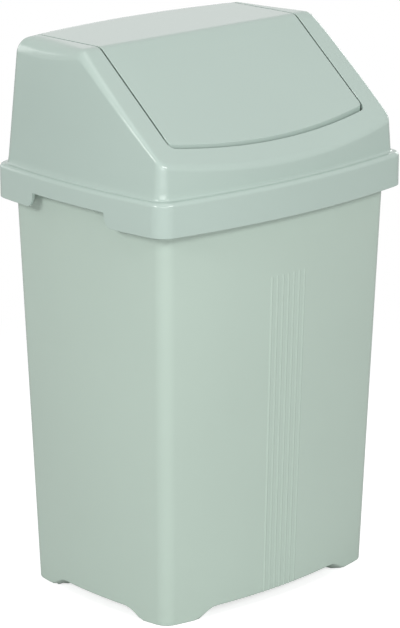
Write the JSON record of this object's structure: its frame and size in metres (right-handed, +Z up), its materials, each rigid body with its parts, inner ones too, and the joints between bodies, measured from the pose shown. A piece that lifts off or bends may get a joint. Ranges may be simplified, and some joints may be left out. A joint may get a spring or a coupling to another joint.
{
  "type": "swing-lid bin",
  "caption": "Tapered bin on corner feet with a lift-off hood, a sloping front and a bent swing flap that pivots between the hood's cheeks.",
  "frame": {"origin": "standing surface, under the middle of the bin", "axes": "+Z up, -Y towards the sloping front with the flap's lip, +X to the right as seen from the front"},
  "size_m": [0.222, 0.177, 0.36],
  "materials": {
    "body_plastic": "satin sage green polypropylene",
    "lid_plastic": "satin sage green polypropylene, a little cooler and glossier than the body"
  },
  "bodies": {
    "bin": {"bin_body": "body_plastic"},
    "hood": {"hood": "lid_plastic"},
    "flap": {"swing_flap": "lid_plastic"}
  },
  "joints": [
    {"name": "hood_lift", "type": "slide", "parent": "bin", "child": "hood", "axis": [0, 0, 1], "range_m": [0, 0.1]},
    {"name": "flap_swing", "type": "hinge", "parent": "hood", "child": "flap", "pos_m": [0, -0.02139, 0.32773], "axis": [1, 0, 0], "range_deg": [0, 52]}
  ]
}
